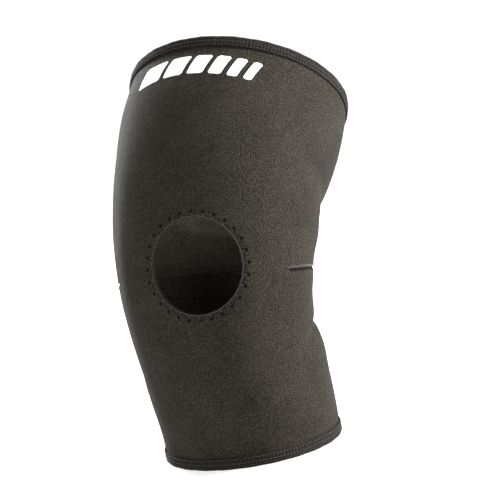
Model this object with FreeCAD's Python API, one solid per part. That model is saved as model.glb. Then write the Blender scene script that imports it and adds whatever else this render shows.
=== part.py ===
"""Open-patella knee sleeve: a pre-bent neoprene tube with bound hems, standing on its calf hem.

Frame, in millimetres: the origin is the centre of the calf hem's resting edge, +Z runs up the calf,
-Y is the front of the knee and +X is one side. The thigh half leans back, towards +Y.
"""
import FreeCAD
import Part
import math
import os

Vector = FreeCAD.Vector

# Driving dimensions
LENGTH = 250.0                   # along the leg's centreline, from the calf hem to the thigh hem
KNEE_MIDDLE = 119.5              # middle of the knee, along the centreline
KNEE_ZONE_HALF = 50.0            # the stretch that bends reaches this far either way

# Stations evenly spaced between the two straight hems, from the calf to the thigh:
# how far the leg leans back, and the half width, front reach and back reach of the outside
LEAN_DEGREES = (0.0, -14.0, -11.0, 6.5, 28.0, 46.0, 53.0, 42.0)
HALF_WIDTH = (56.0, 57.0, 57.5, 62.0, 64.5, 67.0, 70.0, 70.0)
FRONT_REACH = (56.0, 58.5, 58.5, 55.5, 60.5, 68.5, 73.5, 70.0)
BACK_REACH = (56.0, 54.5, 52.5, 54.0, 57.0, 61.5, 65.0, 70.0)
HEM_STRAIGHT = 9.0               # the tube is a true cylinder over this length at each hem

# The bonded sheet, from the outside in
FACE = 0.45
FOAM = 2.4
LINING = 0.45
GLUE_GAP = 0.05
SHEET = FACE + FOAM + LINING + 2 * GLUE_GAP

# Hem binding: a tape folded over the raw edge
TAPE = 0.7
TAPE_FIT = 0.08
BINDING_OUTER_LEG = 7.5
BINDING_INNER_LEG = 7.0
FOLD_RADIUS = 1.2

# Patella opening, an ellipse seen square to the knee. The front of the unworn sleeve has turned a
# little round the leg, towards +X, and takes the opening, the darts' tips and the print with it.
PATELLA_HALF_WIDTH = 29.0
PATELLA_HALF_HEIGHT = 30.4
PATELLA_RISE = 1.4               # its centre, along the leg from the middle of the knee
PATELLA_TURN = math.radians(11.5)

# Seams at the back: one along the leg, and a dart across the back of the knee on each side
SEAM_WIDTH = 0.2
DART_TIPS = {"right": math.radians(70.0), "left": math.radians(-57.5)}
DART_RISE = -3.5                 # below the middle of the knee
DART_END = math.pi - math.radians(5.0)

# Sewing thread and its stitches
THREAD_RADIUS = 0.25
THREAD_LIFT = THREAD_RADIUS + 0.12
THREAD_SHARE = 0.8               # how much of each stitch's length lies on the surface
HEM_STITCH = 5.0
HEM_ROWS = {"upper": 6.2, "lower": 3.4}   # heights of the two rows above the folded edge
SEAM_STITCH = 2.6
SEAM_ZIGZAG = 1.5                # half the width of the zigzag over a seam
DART_STITCHES = 30
PATELLA_STITCHES = 28
NEEDLE_LINE = 3.1                # needle holes, this far outside the opening
CUT_EDGE_LINE = 0.4

# White film print, and a blank care label on the lining
PRINT_FILM = 0.15
PRINT_LIFT = 0.05
PRINT_MIDDLE = 214.0             # along the centreline
PRINT_SIDE = 3.0                 # its middle, towards +X
PRINT_HEIGHT = 16.0
PRINT_SLANT = math.radians(14.0)
PRINT_BARS = (17.0, 13.5, 10.5, 8.0, 6.0, 4.5)
PRINT_GAP = 3.4
LABEL_THICKNESS = 0.3
LABEL_LENGTH = 22.0
LABEL_HALF_ANGLE = math.radians(13.0)
LABEL_GAP = 0.1

# How finely the tube is built
RING_POINTS = 32                 # points round each section
HEM_SECTION_STEP = 3.0           # between sections near a hem
SECTION_STEPS = 20               # stretches between sections from one hem's edge to the other's
SECTION_MARGIN = 14.0            # a zone is built this much too long, then cut square
CENTRE_STEP = 0.5                # step of the centreline's sum
SEAM_SLOT_STEPS = 12             # straight lengths that follow the centreline in the back seam's slot
HALVINGS = 40                    # of a search for a place on the surface
FAR = 110.0                      # longer than any radius of the tube
BLOCK = 40.0                     # depth of the blocks that cut a zone's ends square

KNEE_ZONE = (KNEE_MIDDLE - KNEE_ZONE_HALF, KNEE_MIDDLE + KNEE_ZONE_HALF)
SHEET_END = TAPE + TAPE_FIT      # the raw edge stops this far inside the fold
DART = KNEE_MIDDLE + DART_RISE
PATELLA = KNEE_MIDDLE + PATELLA_RISE

PARTS = "parts"


# ---- The shape of the tube ----

def smooth(values, s):
    """A smooth curve through the values at the stations, read at a distance s along the centreline."""
    last = len(values) - 1
    share = (s - HEM_STRAIGHT) / (LENGTH - 2 * HEM_STRAIGHT)
    place = min(max(share, 0.0), 1.0) * last
    i = min(int(place), last - 1)
    t = place - i
    low, high = values[i], values[i + 1]
    low_slope = (high - values[i - 1]) / 2 if i > 0 else high - low
    high_slope = (values[i + 2] - low) / 2 if i + 2 <= last else high - low
    return (
        (2 * t**3 - 3 * t**2 + 1) * low
        + (t**3 - 2 * t**2 + t) * low_slope
        + (3 * t**2 - 2 * t**3) * high
        + (t**3 - t**2) * high_slope
    )


def along(s):
    """The direction of the leg at s, towards the thigh."""
    lean = math.radians(smooth(LEAN_DEGREES, s))
    return Vector(0, math.sin(lean), math.cos(lean))


def backward(s):
    """The direction at s that points out of the back of the leg."""
    lean = math.radians(smooth(LEAN_DEGREES, s))
    return Vector(0, math.cos(lean), -math.sin(lean))


def centreline():
    """Points of the centreline every CENTRE_STEP, summed up from the calf hem."""
    points = [Vector(0, 0, 0)]
    for i in range(round(LENGTH / CENTRE_STEP)):
        points.append(points[-1] + along((i + 0.5) * CENTRE_STEP) * CENTRE_STEP)
    return points


CENTRELINE = centreline()


def centre(s):
    """The centreline's point at a distance s from the calf hem, also a little past either hem."""
    i = min(max(int(s / CENTRE_STEP), 0), len(CENTRELINE) - 1)
    return CENTRELINE[i] + along(s) * (s - i * CENTRE_STEP)


def reach(s, inset):
    """Half width, front reach and back reach of the surface that lies inset inside the outside."""
    return [smooth(v, s) - inset for v in (HALF_WIDTH, FRONT_REACH, BACK_REACH)]


def on_surface(s, angle, inset):
    """A point of the surface at s. The angle goes round the leg from the front, towards +X."""
    half_width, front, back = reach(s, inset)
    depth = front if math.cos(angle) > 0 else back
    outwards = Vector(half_width * math.sin(angle), 0, 0) - backward(s) * (depth * math.cos(angle))
    return centre(s) + outwards


def section(s, inset):
    """The closed outline of the tube at s, starting at the back."""
    ring = Part.BSplineCurve()
    turns = [math.pi + 2 * math.pi * i / RING_POINTS for i in range(RING_POINTS)]
    ring.interpolate(Points=[on_surface(s, a, inset) for a in turns], PeriodicFlag=True)
    return Part.Wire(ring.toShape())


def section_places():
    """Where the sections are: close together near the hems, and evenly spaced between them."""
    hem = [-HEM_SECTION_STEP + HEM_SECTION_STEP * i for i in range(5)]
    first = hem[-1] + HEM_SECTION_STEP
    stretch = (LENGTH - 2 * first) / SECTION_STEPS
    between = [first + stretch * i for i in range(SECTION_STEPS + 1)]
    return hem + between + [LENGTH - s for s in reversed(hem)]


SECTION_PLACES = section_places()


def plug(start, end, inset):
    """The solid inside the surface at that inset, a little too long at both ends. Every layer of a
    zone runs through the same sections, so that they stay parallel."""
    low, high = start - SECTION_MARGIN, end + SECTION_MARGIN
    places = [s for s in SECTION_PLACES if low <= s <= high]
    return Part.makeLoft([section(s, inset) for s in places], True, False)


def beyond(s, way):
    """A block square to the leg at s, on the thigh's side of it (way 1) or the calf's (way -1)."""
    middle = centre(s)
    wide = Vector(FAR, 0, 0)
    deep = backward(s) * FAR
    corners = [middle - wide - deep, middle + wide - deep, middle + wide + deep, middle - wide + deep]
    return Part.Face(Part.makePolygon(corners + corners[:1])).extrude(along(s) * (way * BLOCK))


def layer(start, end, outer_inset, inner_inset):
    """One layer of the tube's wall, with flat ends square to the leg."""
    wall = plug(start, end, outer_inset).cut(plug(start, end, inner_inset))
    return wall.cut([beyond(start, -1), beyond(end, 1)])


# ---- Seams and openings that are cut through every layer ----

def back_seam_cut(start, end):
    """A thin slot along the middle of the back."""
    low, high = start - SEAM_WIDTH, end + SEAM_WIDTH
    places = [low + (high - low) * i / SEAM_SLOT_STEPS for i in range(SEAM_SLOT_STEPS + 1)]
    inner = [centre(s) for s in places]
    outer = [centre(s) + backward(s) * FAR for s in reversed(places)]
    outline = Part.makePolygon(inner + outer + inner[:1])
    sheet = Part.Face(outline)
    sheet.translate(Vector(-SEAM_WIDTH / 2, 0, 0))
    return sheet.extrude(Vector(SEAM_WIDTH, 0, 0))


def dart_cut(s):
    """A thin slot across the back of the knee, from one dart's tip round to the other's."""
    middle = centre(s) - along(s) * (SEAM_WIDTH / 2)
    tips = (DART_TIPS["right"], math.radians(120), math.pi, -math.radians(120), DART_TIPS["left"])
    rim = [middle + Vector(FAR * math.sin(a), 0, 0) - backward(s) * (FAR * math.cos(a)) for a in tips]
    fan = Part.Face(Part.makePolygon([middle] + rim + [middle]))
    return fan.extrude(along(s) * SEAM_WIDTH)


def patella_directions():
    """Out of the leg at the middle of the patella opening, and sideways across the opening."""
    forward = backward(PATELLA) * -1
    aside = Vector(1, 0, 0)
    sine, cosine = math.sin(PATELLA_TURN), math.cos(PATELLA_TURN)
    return forward * cosine + aside * sine, aside * cosine - forward * sine


def patella_cut():
    """The elliptical prism that opens the front of the knee."""
    middle = centre(PATELLA)
    out, aside = patella_directions()
    ellipse = Part.Ellipse(
        middle + along(PATELLA) * PATELLA_HALF_HEIGHT,
        middle + aside * PATELLA_HALF_WIDTH,
        middle,
    )
    return Part.Face(Part.Wire(ellipse.toShape())).extrude(out * FAR)


# ---- The bonded sheet, zone by zone ----

def zones():
    """Where each zone of the one sheet starts and ends along the leg. Only the knee's bends."""
    return {
        "calf": (SHEET_END, KNEE_ZONE[0]),
        "knee": KNEE_ZONE,
        "thigh": (KNEE_ZONE[1], LENGTH - SHEET_END),
    }


def sheet_layers():
    """Face jersey, foam core and lining of the calf, the knee and the thigh."""
    foam_inset = FACE + GLUE_GAP
    lining_inset = foam_inset + FOAM + GLUE_GAP
    depths = {
        "outer_jersey": (0.0, FACE),
        "neoprene_core": (foam_inset, foam_inset + FOAM),
        "lining": (lining_inset, lining_inset + LINING),
    }
    made = {}
    for zone, (start, end) in zones().items():
        cuts = [back_seam_cut(start, end)]
        if zone == "knee":
            cuts += [dart_cut(DART), patella_cut()]
        for name, (outer, inner) in depths.items():
            made[f"{zone}_{name}"] = layer(start, end, outer, inner).cut(cuts)
    return made


# ---- Hem bindings ----

def hem_placement(end):
    """Puts a ring made at the origin, open towards +Z, on the calf hem or on the thigh hem."""
    if end == "calf":
        return FreeCAD.Placement()
    turn = FreeCAD.Rotation(Vector(1, 0, 0), 180.0 - LEAN_DEGREES[-1])
    return FreeCAD.Placement(centre(LENGTH), turn)


def hem_radius(end):
    """Radius of the sheet's outside at a hem."""
    return HALF_WIDTH[0] if end == "calf" else HALF_WIDTH[-1]


def binding_tape(end):
    """The folded tape: a U-shaped profile, flattened at the fold, turned round the hem's axis."""
    outside = hem_radius(end) + TAPE_FIT + TAPE
    inside = hem_radius(end) - SHEET - TAPE_FIT - TAPE
    r = FOLD_RADIUS
    bevel = r * (1 - math.sqrt(0.5))

    def at(x, z):
        return Vector(x, 0, z)

    edges = [
        Part.LineSegment(at(outside, BINDING_OUTER_LEG), at(outside, r)),
        Part.Arc(at(outside, r), at(outside - bevel, bevel), at(outside - r, 0)),
        Part.LineSegment(at(outside - r, 0), at(inside + r, 0)),
        Part.Arc(at(inside + r, 0), at(inside + bevel, bevel), at(inside, r)),
        Part.LineSegment(at(inside, r), at(inside, BINDING_INNER_LEG)),
        Part.LineSegment(at(inside, BINDING_INNER_LEG), at(inside + TAPE, BINDING_INNER_LEG)),
        Part.LineSegment(at(inside + TAPE, BINDING_INNER_LEG), at(inside + TAPE, TAPE)),
        Part.LineSegment(at(inside + TAPE, TAPE), at(outside - TAPE, TAPE)),
        Part.LineSegment(at(outside - TAPE, TAPE), at(outside - TAPE, BINDING_OUTER_LEG)),
        Part.LineSegment(at(outside - TAPE, BINDING_OUTER_LEG), at(outside, BINDING_OUTER_LEG)),
    ]
    profile = Part.Face(Part.Wire([e.toShape() for e in edges]))
    ring = profile.revolve(Vector(0, 0, 0), Vector(0, 0, 1), 360)
    ring.Placement = hem_placement(end)
    return ring


# ---- Stitching ----

def stitch(start, end, share=THREAD_SHARE):
    """One visible stitch: a short straight length of thread between two needle holes."""
    line = end - start
    first = start + line * ((1 - share) / 2)
    return Part.makeCylinder(THREAD_RADIUS, line.Length * share, first, line)


def hem_row(end, height):
    """A straight row of stitches through both legs of a hem's tape, seen from outside."""
    radius = hem_radius(end) + TAPE_FIT + TAPE + THREAD_LIFT
    count = round(2 * math.pi * radius / HEM_STITCH)
    place = hem_placement(end)
    holes = []
    for i in range(count + 1):
        angle = 2 * math.pi * i / count
        holes.append(place.multVec(Vector(radius * math.sin(angle), -radius * math.cos(angle), height)))
    return Part.Compound([stitch(holes[i], holes[i + 1]) for i in range(count)])


def lift_above(point):
    """How far a point in front of the knee lies outside the sleeve, measured from the centreline."""
    low, high = KNEE_ZONE
    for _ in range(HALVINGS):
        s = (low + high) / 2
        if (point - centre(s)).dot(along(s)) > 0:
            low = s
        else:
            high = s
    spoke = point - centre(s)
    half_width, front, _ = reach(s, 0.0)
    share = math.hypot(spoke.x / half_width, spoke.dot(backward(s)) / front)
    return spoke.Length * (1 - 1 / share)


def beside_opening(turn, out):
    """The point on the knee's front that lies out from the opening's edge, at a turn round it."""
    outwards, aside = patella_directions()
    wide = (PATELLA_HALF_WIDTH + out) * math.sin(turn)
    tall = (PATELLA_HALF_HEIGHT + out) * math.cos(turn)
    start = centre(PATELLA) + aside * wide + along(PATELLA) * tall
    low, high = 0.0, FAR
    for _ in range(HALVINGS):
        middle = (low + high) / 2
        if lift_above(start + outwards * middle) < THREAD_LIFT:
            low = middle
        else:
            high = middle
    return start + outwards * low


def patella_edge_stitching():
    """Overedge stitches: each runs from a needle hole to the cut edge, square to the opening."""
    row = []
    for i in range(PATELLA_STITCHES):
        turn = 2 * math.pi * i / PATELLA_STITCHES
        row.append(stitch(beside_opening(turn, CUT_EDGE_LINE), beside_opening(turn, NEEDLE_LINE)))
    return Part.Compound(row)


def dart_stitching(side):
    """Zigzag over the right or left dart, from its tip to near the back seam."""
    tip = DART_TIPS[side]
    end = math.copysign(DART_END, tip)
    holes = []
    for i in range(DART_STITCHES + 1):
        angle = tip + (end - tip) * i / DART_STITCHES
        holes.append(on_surface(DART + SEAM_ZIGZAG * (-1) ** i, angle, -THREAD_LIFT))
    return Part.Compound([stitch(holes[i], holes[i + 1]) for i in range(DART_STITCHES)])


def back_seam_stitching(start, end):
    """Zigzag over the back seam between two places along the leg."""
    count = round((end - start) / SEAM_STITCH)
    holes = []
    for i in range(count + 1):
        s = start + (end - start) * i / count
        angle = math.pi + SEAM_ZIGZAG / reach(s, 0.0)[0] * (-1) ** i
        holes.append(on_surface(s, angle, -THREAD_LIFT))
    return [stitch(holes[i], holes[i + 1]) for i in range(count)]


def stitching():
    """Every row of thread, by node name. The back seam's row is clear of the tapes and the darts."""
    clear = SEAM_ZIGZAG + 1.0
    from_tape = BINDING_OUTER_LEG + clear
    below, above = KNEE_ZONE
    made = {
        "patella_edge_stitching": patella_edge_stitching(),
        "right_dart_stitching": dart_stitching("right"),
        "left_dart_stitching": dart_stitching("left"),
        "calf_back_seam_stitching": Part.Compound(back_seam_stitching(from_tape, below - clear)),
        "knee_back_seam_stitching": Part.Compound(
            back_seam_stitching(below + clear, DART - 2 * clear)
            + back_seam_stitching(DART + 2 * clear, above - clear)
        ),
        "thigh_back_seam_stitching": Part.Compound(
            back_seam_stitching(above + clear, LENGTH - from_tape)
        ),
    }
    for end in ("calf", "thigh"):
        for row, height in HEM_ROWS.items():
            made[f"{end}_binding_{row}_stitching"] = hem_row(end, height)
    return made


# ---- Print and label ----

def front_print():
    """A plain row of slanted bars in white film, graded from wide to narrow, above the knee."""
    film = layer(*zones()["thigh"], -PRINT_LIFT - PRINT_FILM, -PRINT_LIFT)
    half_rise = along(PRINT_MIDDLE) * (PRINT_HEIGHT / 2)
    half_slant = Vector(math.tan(PRINT_SLANT) * half_rise.Length, 0, 0)
    up = half_rise + half_slant
    x = PRINT_SIDE - (sum(PRINT_BARS) + PRINT_GAP * (len(PRINT_BARS) - 1)) / 2
    bars = []
    for width in PRINT_BARS:
        left = centre(PRINT_MIDDLE) + Vector(x, 0, 0)
        right = left + Vector(width, 0, 0)
        outline = Part.makePolygon([left - up, right - up, right + up, left + up, left - up])
        prism = Part.Face(outline).extrude(backward(PRINT_MIDDLE) * -FAR)
        bars += film.common(prism).Solids
        x += width + PRINT_GAP
    return Part.Compound(bars)


def care_label():
    """A blank woven label that lies on the lining below the thigh binding, at the back."""
    end = LENGTH - BINDING_INNER_LEG - LABEL_GAP
    start = end - LABEL_LENGTH
    patch = layer(*zones()["thigh"], SHEET + LABEL_GAP, SHEET + LABEL_GAP + LABEL_THICKNESS)
    patch = patch.cut([beyond(start, -1), beyond(start + LABEL_LENGTH, 1)])
    middle = centre(start) - along(start) * LABEL_LENGTH
    sides = (math.pi - LABEL_HALF_ANGLE, math.pi + LABEL_HALF_ANGLE)
    rim = [middle + Vector(FAR * math.sin(a), 0, 0) - backward(start) * (FAR * math.cos(a)) for a in sides]
    wedge = Part.Face(Part.makePolygon([middle] + rim + [middle]))
    return patch.common(wedge.extrude(along(start) * (3 * LABEL_LENGTH)))


def main():
    os.makedirs(PARTS, exist_ok=True)
    nodes = sheet_layers()
    nodes.update(stitching())
    nodes["calf_binding_tape"] = binding_tape("calf")
    nodes["thigh_binding_tape"] = binding_tape("thigh")
    nodes["front_print"] = front_print()
    nodes["care_label"] = care_label()
    for name, shape in nodes.items():
        shape.exportStep(f"{PARTS}/{name}.step")
        print(f"{name}: {len(shape.Solids)} solids, {shape.Volume:.0f} mm3, valid {shape.isValid()}")


main()
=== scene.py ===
"""Looks of the open-patella knee sleeve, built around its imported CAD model.

Places are worked out in millimetres from the same driving dimensions as the CAD, and each mesh is
made in metres at the end. s runs along the leg's centreline from the calf hem, and an angle runs
round the leg from the front, towards +X.
"""
import math

import bmesh
import bpy
import numpy as np
from mathutils import Matrix, Vector


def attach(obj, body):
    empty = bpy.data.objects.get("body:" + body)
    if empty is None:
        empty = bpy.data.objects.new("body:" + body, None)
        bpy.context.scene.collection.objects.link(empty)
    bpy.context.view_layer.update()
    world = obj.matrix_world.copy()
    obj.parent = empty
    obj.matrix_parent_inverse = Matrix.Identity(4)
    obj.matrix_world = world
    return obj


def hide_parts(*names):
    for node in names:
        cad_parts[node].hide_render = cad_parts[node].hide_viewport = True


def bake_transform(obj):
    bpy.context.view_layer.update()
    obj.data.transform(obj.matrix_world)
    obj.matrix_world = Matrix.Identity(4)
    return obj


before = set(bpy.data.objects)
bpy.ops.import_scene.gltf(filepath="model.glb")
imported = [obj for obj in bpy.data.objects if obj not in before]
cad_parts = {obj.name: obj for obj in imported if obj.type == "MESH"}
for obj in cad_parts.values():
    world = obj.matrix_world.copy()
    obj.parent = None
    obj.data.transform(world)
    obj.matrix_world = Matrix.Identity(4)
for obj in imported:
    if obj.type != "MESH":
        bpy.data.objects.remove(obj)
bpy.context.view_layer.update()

MM = 0.001

# The sleeve's shape, as in the CAD
LENGTH = 250.0
KNEE_MIDDLE = 119.5
LEAN = np.radians((0.0, -14.0, -11.0, 6.5, 28.0, 46.0, 53.0, 42.0))
HALF_WIDTH = np.array((56.0, 57.0, 57.5, 62.0, 64.5, 67.0, 70.0, 70.0))
FRONT_REACH = np.array((56.0, 58.5, 58.5, 55.5, 60.5, 68.5, 73.5, 70.0))
BACK_REACH = np.array((56.0, 54.5, 52.5, 54.0, 57.0, 61.5, 65.0, 70.0))
HEM_STRAIGHT = 9.0
SHEET_END = 0.78
FACE = 0.45
FOAM = 2.4
LINING = 0.45
GLUE_GAP = 0.05
SHEET = FACE + FOAM + LINING + 2 * GLUE_GAP
TAPE = 0.7
TAPE_FIT = 0.08
BINDING_OUTER_LEG = 7.5
BINDING_INNER_LEG = 7.0
HEM_ROWS = (6.2, 3.4)
PATELLA = KNEE_MIDDLE + 1.4
PATELLA_HALF_WIDTH = 29.0
PATELLA_HALF_HEIGHT = 30.4
PATELLA_TURN = math.radians(11.5)     # round the leg, towards +X
PATELLA_STITCHES = 28
NEEDLE_LINE = 3.1
DART = KNEE_MIDDLE - 3.5
RIGHT_DART_TIP = math.radians(70.0)
LEFT_DART_TIP = math.radians(57.5)
PRINT_MIDDLE = 214.0
PRINT_SIDE = 3.0
PRINT_HEIGHT = 16.0
PRINT_SLANT = math.radians(14.0)
PRINT_BARS = (17.0, 13.5, 10.5, 8.0, 6.0, 4.5)
PRINT_GAP = 3.4
LABEL_LENGTH = 22.0
LABEL_HALF_ANGLE = math.radians(13.0)
LABEL_GAP = 0.1
LABEL_CURL = 1.2
LABEL_THICKNESS = 0.3

# Soft folds behind and beside the knee: height, place along the leg, how far that place moves with
# the cosine of the angle, and width
KNEE_FOLDS = (
    (-2.9, 71.0, -6.0, 5.0),
    (-0.3, DART, 0.0, 9.0),
    (-1.5, 178.0, 6.0, 8.0),
    (-0.6, 98.0, 0.0, 9.0),
    (1.6, 143.0, 0.0, 14.0),
    (1.4, 55.0, 0.0, 12.0),
)
FOLDS_START = math.radians(50)
FOLDS_FULL = math.radians(105)

# Relief of the outer face: each depth with the half width it fades over
SEAM_GROOVE, SEAM_GROOVE_WIDTH = 0.45, 1.0
DART_GROOVE, DART_GROOVE_WIDTH = 1.0, 0.8
DART_FADE_BEFORE, DART_FADE_AFTER = 0.02, 0.05      # radians round the leg from the dart's tip
DART_TIP_DENT, DART_TIP_LENGTH, DART_TIP_WIDTH = 1.1, 1.8, 1.4
GATHER_HEIGHT, GATHER_PITCH, GATHER_AWAY, GATHER_WIDTH = 0.22, 2.6, 1.9, 1.4
EDGE_PRESS, EDGE_PRESS_WIDTH = 0.55, 1.1
NEEDLE_DENT, NEEDLE_DENT_WIDTH = 0.75, 0.75
THREAD_PRESS, THREAD_PRESS_WIDTH = 0.22, 1.1
HEM_PULL, HEM_PULL_WIDTH = 0.35, 1.8
EDGE_PINCH, EDGE_PINCH_WIDTH = 0.275, 1.4           # share of the way to the sheet's middle

# Cells of the sheet's grid: their size, and how much smaller they get near each detail
CELL_ALONG, CELL_ALONG_CUT = 1.5, 0.8
DART_SPREAD, OPENING_SPREAD = 6.0, 36.0
CELL_ROUND, SEAM_CUT, FRONT_CUT = 1.45, 0.95, 0.45
SEAM_SPREAD, FRONT_SPREAD = 6.0, 0.85
BLOCK_SHARE = 1.34          # half size of the block round the opening, in half sizes of the opening
FINEST_RINGS, FEWEST_RINGS = 26, 6
NARROW_REACH = 55.0         # about the smallest reach of the sleeve, to turn distances into angles
SEAM_HALF_SLOT = 0.1
RING_CROWDING = 1.3         # above 1 the rings crowd towards the cut edge


# ---- The surface ----

def smooth(values, s):
    """The CAD's curve through values at evenly spaced stations, for places along the leg."""
    last = len(values) - 1
    place = np.clip((s - HEM_STRAIGHT) / (LENGTH - 2 * HEM_STRAIGHT), 0, 1) * last
    i = np.minimum(place.astype(int), last - 1)
    t = place - i
    low, high = values[i], values[i + 1]
    low_slope = np.where(i > 0, (high - values[np.maximum(i - 1, 0)]) / 2, high - low)
    high_slope = np.where(i < last - 1, (values[np.minimum(i + 2, last)] - low) / 2, high - low)
    return (
        (2 * t**3 - 3 * t**2 + 1) * low
        + (t**3 - 2 * t**2 + t) * low_slope
        + (3 * t**2 - 2 * t**3) * high
        + (t**3 - t**2) * high_slope
    )


FAR_OUT = 99.0              # stands for a place with no stitch near it
CENTRE_STEP = 0.5
CENTRE_S = np.arange(0, LENGTH + CENTRE_STEP / 2, CENTRE_STEP)
MID_LEAN = smooth(LEAN, CENTRE_S[:-1] + CENTRE_STEP / 2)
CENTRE_Y = np.concatenate([[0], np.cumsum(np.sin(MID_LEAN)) * CENTRE_STEP])
CENTRE_Z = np.concatenate([[0], np.cumsum(np.cos(MID_LEAN)) * CENTRE_STEP])


def base_surface(s, angle):
    """Points of the smooth outside, before any fold."""
    lean = smooth(LEAN, s)
    y, z = np.interp(s, CENTRE_S, CENTRE_Y), np.interp(s, CENTRE_S, CENTRE_Z)
    depth = np.where(np.cos(angle) > 0, smooth(FRONT_REACH, s), smooth(BACK_REACH, s))
    back = -depth * np.cos(angle)
    side = smooth(HALF_WIDTH, s) * np.sin(angle)
    return np.stack([side, y + back * np.cos(lean), z - back * np.sin(lean)], -1)


def unit(v):
    return v / np.linalg.norm(v, axis=-1, keepdims=True)


def outward(s, angle):
    """Unit normals of the smooth outside."""
    ds, da = 0.3, 0.004
    inner = np.clip(s, ds, LENGTH - ds)
    up = base_surface(inner + ds, angle) - base_surface(inner - ds, angle)
    across = base_surface(s, angle + da) - base_surface(s, angle - da)
    return unit(np.cross(across, up))


def bell(x, width):
    return np.exp(-(x / width) ** 2)


def ramp(x, low, high):
    t = np.clip((x - low) / (high - low), 0, 1)
    return t * t * (3 - 2 * t)


def arc_round(s, angle):
    """Distance round the leg from the front, for the knit's coordinates."""
    return angle * (2 * smooth(HALF_WIDTH, s) + smooth(FRONT_REACH, s) + smooth(BACK_REACH, s)) / 4


def arc_along(s, angle):
    """Distance along the leg on the surface, which is longer over the front of the bend."""
    depth = np.where(np.cos(angle) > 0, smooth(FRONT_REACH, s), smooth(BACK_REACH, s))
    return s + depth * np.cos(angle) * smooth(LEAN, s)


def front_place(s, angle):
    """Where a point lies on a flat view square to the opening: across it, and up from its middle."""
    p = base_surface(s, angle)
    lean = smooth(LEAN, np.array(PATELLA))
    y = p[..., 1] - np.interp(PATELLA, CENTRE_S, CENTRE_Y)
    z = p[..., 2] - np.interp(PATELLA, CENTRE_S, CENTRE_Z)
    behind = y * np.cos(lean) - z * np.sin(lean)
    across = p[..., 0] * math.cos(PATELLA_TURN) + behind * math.sin(PATELLA_TURN)
    return across, y * np.sin(lean) + z * np.cos(lean)


def from_front(across, up):
    """The place (s, angle) of a point given on that flat view, by repeated correction."""
    s = PATELLA + up * 0.6
    angle = PATELLA_TURN + np.arcsin(np.clip(across / HALF_WIDTH[3], -0.95, 0.95))
    for _ in range(60):
        got_across, got_up = front_place(s, angle)
        angle = angle + (across - got_across) / 75
        s = s + (up - got_up) * 0.5
    return s, angle


def opening_distance(s, angle):
    """Rough distance outside the patella opening's edge, and the turn round it."""
    across, up = front_place(s, angle)
    turn = np.arctan2(across / PATELLA_HALF_WIDTH, up / PATELLA_HALF_HEIGHT)
    size = np.hypot(across / PATELLA_HALF_WIDTH, up / PATELLA_HALF_HEIGHT)
    far = (size - 1) * np.hypot(PATELLA_HALF_WIDTH * np.sin(turn), PATELLA_HALF_HEIGHT * np.cos(turn))
    return np.where(np.cos(angle - PATELLA_TURN) > 0.2, far, 999.0), turn


def dart_tip(angle):
    """How far round from the front the dart on the angle's side ends."""
    return np.where(angle > 0, RIGHT_DART_TIP, LEFT_DART_TIP)


def from_dart(s, angle):
    """Distance along the leg from the darts' line, on the surface."""
    return arc_along(s, angle) - arc_along(np.full_like(s, DART), angle)


def folds(s, angle):
    """Soft folds of the whole sheet behind and beside the knee."""
    total = np.zeros_like(s)
    for height, place, shift, width in KNEE_FOLDS:
        total = total + height * bell(s - place - shift * np.cos(angle), width)
    return total * ramp(np.abs(angle), FOLDS_START, FOLDS_FULL)


def skin(s, angle):
    """Relief of the outer face alone: grooves at the seams, dents at needle holes, gathers."""
    across = arc_round(s, angle)
    half_round = arc_round(s, np.full_like(s, math.pi))
    relief = -SEAM_GROOVE * bell(half_round - np.abs(across), SEAM_GROOVE_WIDTH)
    # darts: a groove, gathered along its length, with a dent at the tip
    turn = np.abs(angle)
    tip = dart_tip(angle)
    along_dart = ramp(turn, tip - DART_FADE_BEFORE, tip + DART_FADE_AFTER)
    away = from_dart(s, angle)
    relief += -DART_GROOVE * along_dart * bell(away, DART_GROOVE_WIDTH)
    gathers = np.sin(across * 2 * math.pi / GATHER_PITCH)
    relief += GATHER_HEIGHT * along_dart * gathers * bell(np.abs(away) - GATHER_AWAY, GATHER_WIDTH)
    past_tip = (turn - tip) * HALF_WIDTH[3]
    relief += -DART_TIP_DENT * bell(past_tip, DART_TIP_LENGTH) * bell(away, DART_TIP_WIDTH)
    # patella opening: edge pressed thin by the overedge stitching, a dent at each needle hole
    out, round_turn = opening_distance(s, angle)
    relief += -EDGE_PRESS * bell(out, EDGE_PRESS_WIDTH) * (out > -2)
    step = 2 * math.pi / PATELLA_STITCHES
    nearest = np.round(round_turn / step) * step
    along_edge = (round_turn - nearest) * (PATELLA_HALF_WIDTH + NEEDLE_LINE)
    relief += -NEEDLE_DENT * bell(np.hypot(along_edge, out - NEEDLE_LINE), NEEDLE_DENT_WIDTH)
    under_thread = ramp(-out, -NEEDLE_LINE - 0.8, -0.5) * (out < 8)
    relief += -THREAD_PRESS * bell(along_edge, THREAD_PRESS_WIDTH) * under_thread
    # hems: pulled in a little where the tape is sewn on
    hem = np.minimum(s, LENGTH - s)
    relief += -HEM_PULL * bell(hem - BINDING_OUTER_LEG, HEM_PULL_WIDTH)
    return relief


# ---- Grids that cover the surface ----

def stations(low, high, step_at):
    """Places from low to high, with steps as long as step_at says there."""
    places = [low]
    while places[-1] < high:
        places.append(places[-1] + step_at(places[-1]))
    places = np.array(places)
    return low + (places - low) * (high - low) / (places[-1] - low)


def rim_of(grid):
    """What stands along the outer edge of a grid, in order round it."""
    return list(grid[0, :-1]) + list(grid[:-1, -1]) + list(grid[-1, :0:-1]) + list(grid[:0:-1, 0])


def quads(grid):
    """The four-sided faces of a grid of vertex numbers."""
    corners = (grid[:-1, :-1], grid[:-1, 1:], grid[1:, 1:], grid[1:, :-1])
    return [tuple(q) for q in np.stack(corners, -1).reshape(-1, 4).tolist()]


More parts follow.
